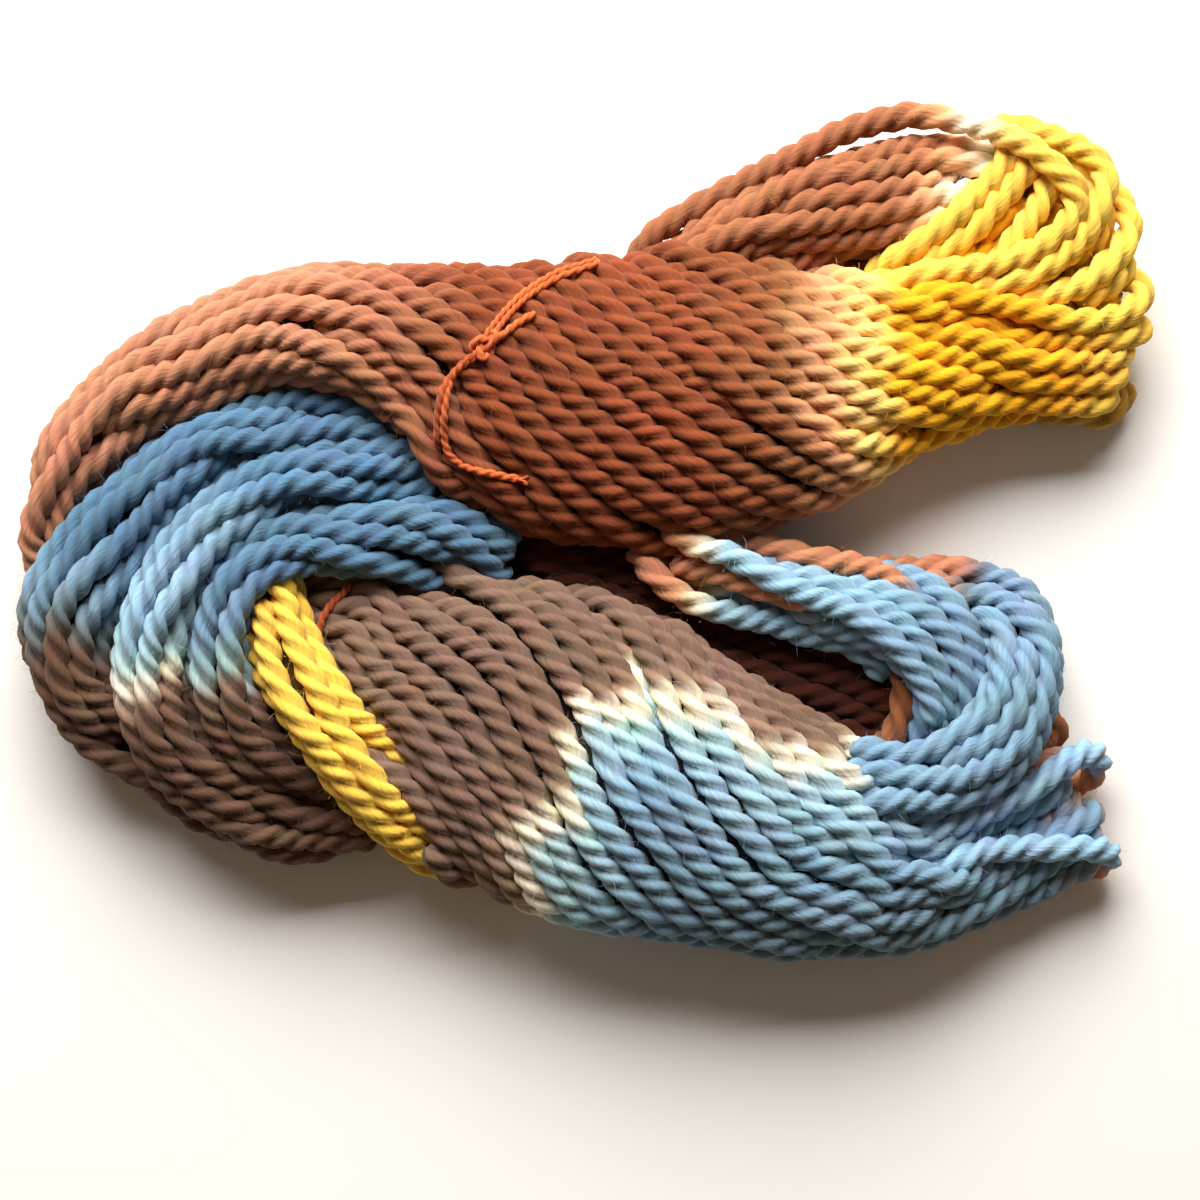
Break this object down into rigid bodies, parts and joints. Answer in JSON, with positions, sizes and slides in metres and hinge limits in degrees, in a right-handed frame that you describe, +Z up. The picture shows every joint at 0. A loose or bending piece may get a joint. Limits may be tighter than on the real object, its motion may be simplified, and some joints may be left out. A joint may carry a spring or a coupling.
{
  "type": "hank of yarn",
  "caption": "Twisted hank of thick hand-dyed wool yarn, folded in two on its side, with looped ends and orange thread ties.",
  "frame": {"origin": "on the surface that the hank lies on, under the middle of its bounding box", "axes": "+X along the two arms, from the folded end to the looped ends; +Y from the lower arm to the upper arm; +Z up"},
  "size_m": [0.3418, 0.2563, 0.0492],
  "materials": {
    "yarn": "soft matt wool",
    "tie_thread": "matt cotton thread"
  },
  "bodies": {
    "root": {"hank": "yarn", "tie_upper": "tie_thread", "tie_upper_tail": "tie_thread", "tie_lower": "tie_thread"}
  },
  "joints": []
}
